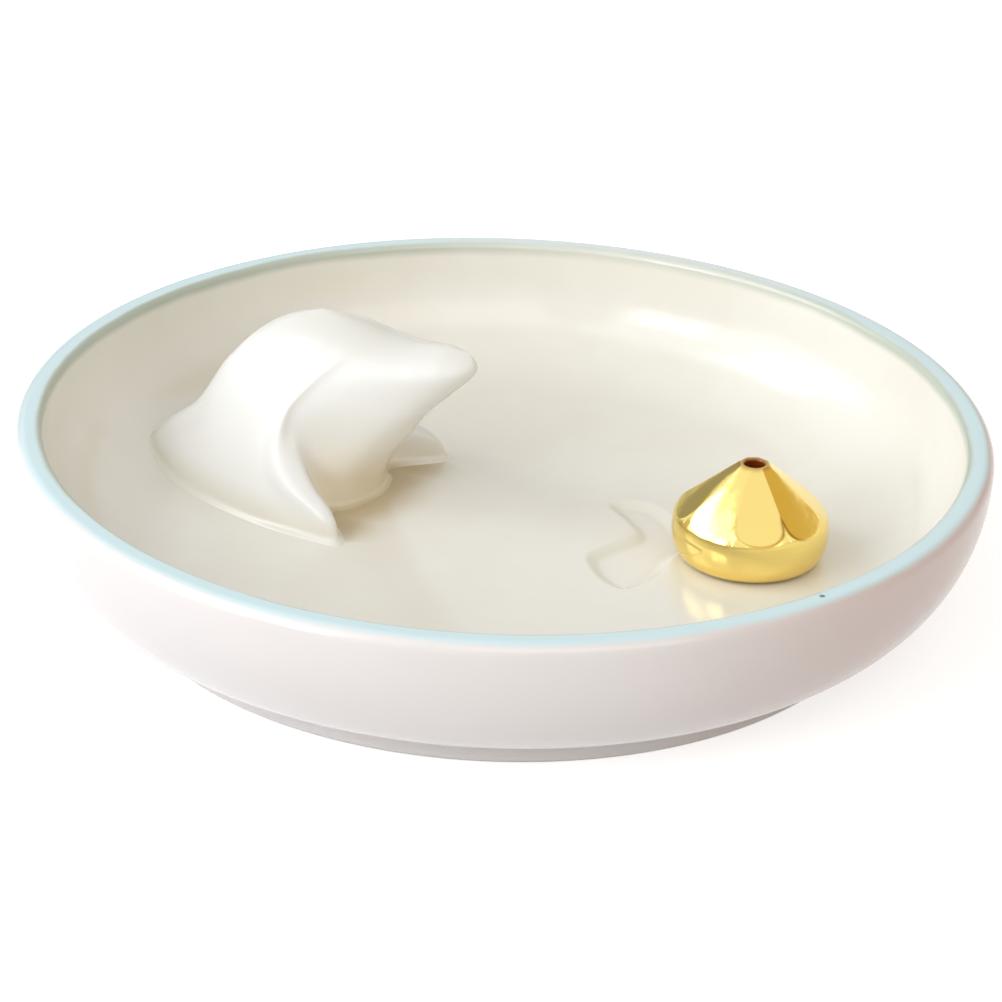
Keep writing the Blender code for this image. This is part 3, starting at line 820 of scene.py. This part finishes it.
places = read_points(holder.data, "co").astype(float)
across = places[:, 0] - HOLDER_PLACE[0]
turns = np.arctan2(places[:, 1] - HOLDER_PLACE[1], across) - FACET_TURN
off_middle = (turns + half_facet) % (2 * half_facet) - half_facet
heights = places[:, 2] - FLOOR_HEIGHT - HOLDER_LIFT
beyond = np.interp(heights, fine_heights, fine_radii) * np.cos(off_middle)
beyond -= top_radius + slope * (HOLDER_HEIGHT - heights)
# A dark reflection is painted along the curved border, fading out towards the left and towards the right of
# the holder.
painted_border_reflection = np.exp(-((beyond / RIDGE_WIDTH) ** 2)) * np.clip(1.0 + across / BORDER_FADE_LEFT, LEAST_BORDER_REFLECTION, 1.0)
painted_border_reflection *= np.clip((BORDER_END - across) / BORDER_FADE_RIGHT, 0.0, 1.0)
painted_border_reflection[heights < HOLDER_BELLY] = 0.0
write_values(holder.data, "painted_border_reflection", painted_border_reflection)
print(int((painted_border_reflection > 0.3).sum()), "points on the worn border")

# %% [markdown]
# ## Finishes
# Two effects are node groups. The gentle waves bend the reflections of both glazes and of the plating, and
# their slow ups and downs also make a glaze a little thicker and thinner in colour. The other is a small
# round spot of iron that burns through in the kiln.

# %% Shared effects as node groups
def new_group(name, inputs, outputs):
    """A node group with named sockets, given as (name, type) pairs, and its input and output nodes."""
    group = bpy.data.node_groups.new(name, "ShaderNodeTree")
    for socket, kind in inputs:
        group.interface.new_socket(socket, in_out="INPUT", socket_type="NodeSocket" + kind)
    for socket, kind in outputs:
        group.interface.new_socket(socket, in_out="OUTPUT", socket_type="NodeSocket" + kind)
    return group, add_node(group, "NodeGroupInput"), add_node(group, "NodeGroupOutput")


waves, given, result = new_group(
    "glaze_waves", (("Place", "Vector"), ("Scale", "Float"), ("Height", "Float")),
    (("Normal", "Vector"), ("Mottle", "Float")),
)
noise = add_node(waves, "ShaderNodeTexNoise", Detail=2.0, Roughness=0.5)
bump = add_node(waves, "ShaderNodeBump", Strength=1.0)
waves.links.new(given.outputs["Place"], noise.inputs["Vector"])
waves.links.new(given.outputs["Scale"], noise.inputs["Scale"])
waves.links.new(noise.outputs["Fac"], bump.inputs["Height"])
waves.links.new(given.outputs["Height"], bump.inputs["Distance"])
waves.links.new(bump.outputs["Normal"], result.inputs["Normal"])
waves.links.new(noise.outputs["Fac"], result.inputs["Mottle"])

spot, given, result = new_group(
    "firing_spot", (("Place", "Vector"), ("Centre", "Vector"), ("Radius", "Float")), (("Mask", "Float"),)
)
away = add_node(spot, "ShaderNodeVectorMath", operation="DISTANCE")
edge = add_node(spot, "ShaderNodeMath", operation="DIVIDE")
soft = add_node(spot, "ShaderNodeMapRange", interpolation_type="SMOOTHSTEP")
soft.inputs["From Min"].default_value = 1.0
soft.inputs["From Max"].default_value = 0.5
spot.links.new(given.outputs["Place"], away.inputs[0])
spot.links.new(given.outputs["Centre"], away.inputs[1])
spot.links.new(away.outputs["Value"], edge.inputs[0])
spot.links.new(given.outputs["Radius"], edge.inputs[1])
spot.links.new(edge.outputs[0], soft.inputs["Value"])
spot.links.new(soft.outputs["Result"], result.inputs["Mask"])


def new_finish(name, roughness, metallic=0.0):
    """A material with its shader's constants set, its tree and its Object coordinates."""
    material = bpy.data.materials.new(name)
    material.use_nodes = True
    tree = material.node_tree
    shader = tree.nodes["Principled BSDF"]
    shader.inputs["Roughness"].default_value = roughness
    shader.inputs["Metallic"].default_value = metallic
    place = add_node(tree, "ShaderNodeTexCoord").outputs["Object"]
    return material, tree, shader, place


def use_group(tree, group, place, **values):
    node = tree.nodes.new("ShaderNodeGroup")
    node.node_tree = group
    tree.links.new(place, node.inputs["Place"])
    for name, value in values.items():
        node.inputs[name].default_value = value
    return node


def mix_colours(tree, mask, first, second):
    """A colour that goes from the first to the second as the mask goes from 0 to 1."""
    node = add_node(tree, "ShaderNodeMix", data_type="RGBA")
    tree.links.new(mask, node.inputs["Factor"])
    for socket, colour in ((node.inputs[6], first), (node.inputs[7], second)):
        if isinstance(colour, tuple):
            socket.default_value = (*colour, 1.0)
        else:
            tree.links.new(colour, socket)
    return node.outputs[2]


def stored(tree, name):
    """The number that each point carries under that name."""
    return add_node(tree, "ShaderNodeAttribute", attribute_name=name).outputs["Fac"]


def number_between(tree, mask, first, second):
    """A number that goes from the first to the second as the mask goes from 0 to 1."""
    node = add_node(tree, "ShaderNodeMapRange")
    node.inputs["To Min"].default_value = first
    node.inputs["To Max"].default_value = second
    tree.links.new(mask, node.inputs["Value"])
    return node.outputs["Result"]


def give_finish(piece, material):
    piece.data.materials.clear()
    piece.data.materials.append(material)
    print(piece.name, "has", material.name, "of", len(material.node_tree.nodes), "nodes")


def fade(tree, value, start, end):
    """A mask that rises smoothly from 0 to 1 as the value goes from the start to the end."""
    node = add_node(tree, "ShaderNodeMapRange", interpolation_type="SMOOTHSTEP")
    node.inputs["From Min"].default_value = start
    node.inputs["From Max"].default_value = end
    tree.links.new(value, node.inputs["Value"])
    return node.outputs["Result"]


# %% [markdown]
# ### Glaze of the dish
# The glaze is cream inside. Outside it is painted a little pinker and darker, and pinker and darker still
# towards +X, as painted pink bounce light and painted shade. A pale blue stain is brushed over the lip, so it
# ends in a soft uneven line on both sides. The foot ring is wiped clean before firing and shows the bare
# clay.

# %% Where the blue stain lies across the lip
WALL_INSIDE = 0.0012
OUTSIDE_FADE = (-0.0006, 0.0017)
THIN_STAIN_SHARE = 0.60
THIN_STAIN_TURN = math.radians(72)
THIN_STAIN_WIDTH = math.radians(30)


def soft_step(values, start, end):
    share = np.clip((values - start) / (end - start), 0.0, 1.0)
    return share * share * (3.0 - 2.0 * share)


places = read_points(dish.data, "co")
radii = np.hypot(places[:, 0], places[:, 1])
heights = places[:, 2]
middle = (lip_start + lip_end) / 2
inner_turn = np.arctan2(np.maximum(lip_start - radii, 0.0), np.maximum(heights - inner_top[1], POINT_MERGE))
outer_turn = np.arctan2(np.maximum(radii - lip_end, 0.0), np.maximum(heights - outer_top[1], POINT_MERGE))
inwards = np.maximum(middle - np.maximum(radii, lip_start), 0.0) + LIP_INNER_EDGE * inner_turn
inwards += np.maximum(inner_top[1] - heights, 0.0)
outwards = np.maximum(np.minimum(radii, lip_end) - middle, 0.0) + LIP_OUTER_EDGE * outer_turn
outwards += np.maximum(outer_top[1] - heights, 0.0)
over_floor = heights > np.interp(radii, inside_radii, inside_heights) - WALL_INSIDE
inside_dish = (radii < lip_start) & over_floor | (radii < middle) & (heights > RIM_HEIGHT - LIP_INNER_EDGE)
along = np.where(inside_dish, -inwards, outwards)
turns = np.arctan2(places[:, 1], places[:, 0])
thinner = 1.0 - THIN_STAIN_SHARE * np.exp(-((turns - THIN_STAIN_TURN) / THIN_STAIN_WIDTH) ** 2)
write_values(dish.data, "stain", along)
write_values(dish.data, "stain_strength", thinner)
write_values(dish.data, "outside", soft_step(along, *OUTSIDE_FADE))
print("lip from", round(float(along.min()), 4), "to", round(float(along.max()), 4))

# %% Where painted shade darkens the floor: between the fins and just inside the hollow's edge
NOOK_REACH = 0.0046
NOOK_FIELD = 0.0130
CREASE_WIDTH = 0.0011
CHEST_SHELTER = 0.4

chest = read_points(creature.data, "co")
body_shade_share = read_values(creature.data, "painted_body_shade")
near_floor = (chest[:, 2] < FLOOR_HEIGHT + POOL_HEIGHT) & (body_shade_share > CHEST_SHELTER)
chest = chest[near_floor][::3]
painted_floor_shade = np.zeros(len(places))
painted_crease_shade = np.zeros(len(places))
chest_middle = chest[:, :2].mean(0)
on_floor = (radii < FLOOR_RADIUS) & (heights > MID_FLOOR)
close = on_floor & (np.hypot(*(places[:, :2] - chest_middle).T) < NOOK_FIELD)
# The floor round the foot of the chest gets painted brown shade, fading with the distance from it.
for number in np.flatnonzero(close):
    gap = np.sqrt(((chest[:, :2] - places[number, :2]) ** 2).sum(1).min())
    painted_floor_shade[number] = math.exp(-((gap / NOOK_REACH) ** 2))
close = on_floor & (np.hypot(*(places[:, :2] - np.array(HOLLOW_CENTRE)).T) < hollow_reach)
# Just inside the hollow's outline the floor gets painted greenish shade.
for number in np.flatnonzero(close):
    painted_crease_shade[number] = math.exp(-((inside_by(*places[number, :2]) - CREASE_WIDTH) / CREASE_WIDTH) ** 2)
write_values(dish.data, "painted_floor_shade", painted_floor_shade)
write_values(dish.data, "painted_crease_shade", painted_crease_shade)
print("glaze collects round", len(chest), "points of the chest")

# %% Cream glaze, uneven in its thickness, with painted shade and pink bounce light outside
CREAM = (0.835, 0.815, 0.75)
THIN_CREAM = (0.82, 0.795, 0.725)
OUTER_CREAM_PAINTED_BOUNCE = (0.785, 0.74, 0.728)
PINK_PAINTED_SHADE = (0.67, 0.53, 0.495)
BROWN_PAINTED_SHADE = (0.56, 0.46, 0.29)
GREENISH_PAINTED_SHADE = (0.72, 0.70, 0.58)
DISH_ROUGHNESS = 0.17
GLAZE_IOR = 1.62
MOTTLE_FADE = (0.35, 0.65)
PAINTED_SHADE_SIDE = (0.008, 0.052)
ALL_GREENISH = 3.0
ALL_BROWNISH = 1.10

dish_glaze, tree, shader, place = new_finish("cream_glaze_blue_lip", DISH_ROUGHNESS)
shader.inputs["IOR"].default_value = GLAZE_IOR
ripple = use_group(tree, waves, place, Scale=90.0, Height=0.00012)
axes = add_node(tree, "ShaderNodeSeparateXYZ")
tree.links.new(place, axes.inputs[0])
mottled_colour = mix_colours(tree, fade(tree, ripple.outputs["Mottle"], *MOTTLE_FADE), THIN_CREAM, CREAM)
# Painted greenish shade along the inside of the hollow's edge.
creased = fade(tree, stored(tree, "painted_crease_shade"), 0.0, ALL_GREENISH)
creased_colour = mix_colours(tree, creased, mottled_colour, GREENISH_PAINTED_SHADE)
# Painted brown shade on the floor between the fins.
shaded = fade(tree, stored(tree, "painted_floor_shade"), 0.0, ALL_BROWNISH)
shaded_colour = mix_colours(tree, shaded, creased_colour, BROWN_PAINTED_SHADE)
# Outside: painted pink bounce light and painted shade, darker towards +X.
outer_colour = mix_colours(tree, fade(tree, axes.outputs["X"], *PAINTED_SHADE_SIDE), OUTER_CREAM_PAINTED_BOUNCE, PINK_PAINTED_SHADE)
body_colour = mix_colours(tree, stored(tree, "outside"), shaded_colour, outer_colour)
print("cream glaze from", len(tree.nodes), "nodes")

# %% Blue lip with a grey-green line of painted shade, one speck, and the bare clay of the foot
PALE_BLUE = (0.62, 0.80, 0.84)
LIP_PAINTED_SHADE = (0.44, 0.50, 0.42)
SPECK_BLUE = (0.10, 0.14, 0.20)
BARE_CLAY = (0.78, 0.74, 0.70)
BRUSH_WANDER = 0.0010
LINE_START = (-0.0027, -0.0015)
LINE_END = (-0.0001, -0.0009)
LINE_STRENGTH = 0.90
BLUE_START = (-0.0011, -0.0003)
BLUE_END = (0.0017, 0.0007)
SPECK_PLACE = (0.0330, -0.0417, 0.0199)
SPECK_RADIUS = 0.00042
CLAY_LINE = (0.00045, 0.00030)
CLAY_ROUGHNESS = 0.75

brush = add_node(tree, "ShaderNodeTexNoise", Scale=75.0, Detail=3.0)
tree.links.new(place, brush.inputs["Vector"])
wander = add_node(tree, "ShaderNodeMath", operation="MULTIPLY_ADD")
wander.inputs[1].default_value = BRUSH_WANDER
tree.links.new(brush.outputs["Fac"], wander.inputs[0])
tree.links.new(stored(tree, "stain"), wander.inputs[2])
brushed = add_node(tree, "ShaderNodeMath", operation="SUBTRACT")
brushed.inputs[1].default_value = BRUSH_WANDER / 2
tree.links.new(wander.outputs[0], brushed.inputs[0])
across_lip = brushed.outputs[0]
strength = stored(tree, "stain_strength")
# A grey-green line of painted shade lies on the wall just under the lip's inner edge.
line = product(tree, fade(tree, across_lip, *LINE_START), fade(tree, across_lip, *LINE_END))
lip_shade_mask = product(tree, product(tree, line, LINE_STRENGTH), strength)
edged_colour = mix_colours(tree, lip_shade_mask, body_colour, LIP_PAINTED_SHADE)
band = product(tree, fade(tree, across_lip, *BLUE_START), fade(tree, across_lip, *BLUE_END))
glaze_colour = mix_colours(tree, product(tree, band, strength), edged_colour, PALE_BLUE)
speck = use_group(tree, spot, place, Centre=SPECK_PLACE, Radius=SPECK_RADIUS)
speck_colour = mix_colours(tree, speck.outputs["Mask"], glaze_colour, SPECK_BLUE)
clay_mask = fade(tree, axes.outputs["Z"], *CLAY_LINE)
tree.links.new(mix_colours(tree, clay_mask, speck_colour, BARE_CLAY), shader.inputs["Base Color"])
tree.links.new(number_between(tree, clay_mask, DISH_ROUGHNESS, CLAY_ROUGHNESS), shader.inputs["Roughness"])
tree.links.new(ripple.outputs["Normal"], shader.inputs["Normal"])
give_finish(dish, dish_glaze)

# %% [markdown]
# ### Glaze of the creature
# The figure has a whiter glaze. Over the crown it is painted darker and yellower as painted shade, and within
# a few millimetres of the floor it turns darker and warmer. It takes on the cream of the dish where the two
# glazes run together at the floor. Between the fins it is painted browner as painted shade, and so is the
# pooled glaze there.

# %% White glaze
WHITE = (0.84, 0.835, 0.815)
CROWN_PAINTED_SHADE = (0.755, 0.74, 0.685)
WARM_PAINTED_SHADE = (0.84, 0.73, 0.54)
FOOT_WHITE = (0.79, 0.76, 0.68)
POOL_PAINTED_SHADE = (0.62, 0.53, 0.37)
CREATURE_IOR = 1.52
CREATURE_ROUGHNESS = 0.24
POOL_ROUGHNESS = 0.12
CROWN_DEPTH = 0.0060
LOW_DOWN = (0.0038, 0.0006)
ALL_WARM = 1.6
NOOK_FADE = (0.1, 0.8)
POOL_FADE = (0.35, 0.95)

white_glaze, tree, shader, place = new_finish("white_glaze", CREATURE_ROUGHNESS)
shader.inputs["IOR"].default_value = CREATURE_IOR
ripple = use_group(tree, waves, place, Scale=140.0, Height=0.00008)
axes = add_node(tree, "ShaderNodeSeparateXYZ")
tree.links.new(place, axes.inputs[0])
pooled = stored(tree, "pool")
painted_body_shade = stored(tree, "painted_body_shade")
# The crown is painted darker as painted shade.
crown_shade = fade(tree, axes.outputs["Z"], creature_top - CROWN_DEPTH, creature_top)
low_down = fade(tree, axes.outputs["Z"], FLOOR_HEIGHT + LOW_DOWN[0], FLOOR_HEIGHT + LOW_DOWN[1])
crown_and_foot_white = mix_colours(tree, crown_shade, mix_colours(tree, low_down, WHITE, FOOT_WHITE), CROWN_PAINTED_SHADE)
# Painted brown shade between the fins, on the white and on its pooled glaze.
tinted = mix_colours(tree, fade(tree, painted_body_shade, 0.0, ALL_WARM), crown_and_foot_white, WARM_PAINTED_SHADE)
pool_colour = mix_colours(tree, fade(tree, painted_body_shade, *NOOK_FADE), CREAM, POOL_PAINTED_SHADE)
figure_colour = mix_colours(tree, fade(tree, pooled, *POOL_FADE), tinted, pool_colour)
tree.links.new(figure_colour, shader.inputs["Base Color"])
tree.links.new(number_between(tree, pooled, CREATURE_ROUGHNESS, POOL_ROUGHNESS), shader.inputs["Roughness"])
tree.links.new(ripple.outputs["Normal"], shader.inputs["Normal"])
give_finish(creature, white_glaze)

# %% [markdown]
# ### Polished gold
# The plating is thin and the facets are polished by hand, so the mirror is a little wavy. It is worn brown
# round the hole, a dark reflection is painted along the curved border of the facets, and inside the bore the
# metal is dark and brown.

# %% Gold
GOLD = (0.98, 0.752, 0.245)
WORN_GOLD = (0.45, 0.27, 0.07)
RIDGE_PAINTED_REFLECTION = (0.44, 0.25, 0.05)
BORE_BROWN = (0.19, 0.032, 0.003)
GOLD_ROUGHNESS = 0.11
BORE_EDGE = 0.00004
WORN_WIDTH = 0.0008
ALL_RIDGE = 1.1

gold, tree, shader, place = new_finish("polished_gold", GOLD_ROUGHNESS, metallic=1.0)
ripple = use_group(tree, waves, place, Scale=420.0, Height=0.00002)
axis = add_node(tree, "ShaderNodeMapping", vector_type="POINT")
axis.inputs["Location"].default_value = (-HOLDER_PLACE[0], -HOLDER_PLACE[1], 0.0)
tree.links.new(place, axis.inputs["Vector"])
flat_place = add_node(tree, "ShaderNodeVectorMath", operation="MULTIPLY")
flat_place.inputs[1].default_value = (1.0, 1.0, 0.0)
tree.links.new(axis.outputs[0], flat_place.inputs[0])
from_axis = add_node(tree, "ShaderNodeVectorMath", operation="LENGTH")
tree.links.new(flat_place.outputs[0], from_axis.inputs[0])
flare_radius = BORE_RADIUS + BORE_FLARE
in_bore = fade(tree, from_axis.outputs["Value"], flare_radius, BORE_RADIUS + BORE_EDGE)
worn = fade(tree, from_axis.outputs["Value"], flare_radius + WORN_WIDTH, flare_radius)
# Painted dark reflection along the curved border of the facets.
ridged_gold = mix_colours(tree, fade(tree, stored(tree, "painted_border_reflection"), 0.0, ALL_RIDGE), GOLD, RIDGE_PAINTED_REFLECTION)
worn_gold = mix_colours(tree, worn, ridged_gold, WORN_GOLD)
tree.links.new(mix_colours(tree, in_bore, worn_gold, BORE_BROWN), shader.inputs["Base Color"])
plated = add_node(tree, "ShaderNodeMath", operation="SUBTRACT")
plated.inputs[0].default_value = 1.0
tree.links.new(in_bore, plated.inputs[1])
tree.links.new(plated.outputs[0], shader.inputs["Metallic"])
tree.links.new(ripple.outputs["Normal"], shader.inputs["Normal"])
give_finish(holder, gold)

# %% [markdown]
# ## Where each piece belongs
# Each fine piece stands for one plain solid, which is hidden, and rides on that solid's body. The table also
# lists a finish slot for each, which this script does not use.

# %% Bodies, solids and slots
for piece, solid, owner, finish in (
    (dish, "dish", "tray", "dish_glaze"),
    (creature, "sea_creature", "tray", "creature_glaze"),
    (holder, "incense_holder", "stick_holder", "holder_metal"),
):
    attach(piece, owner)
    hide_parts(solid)
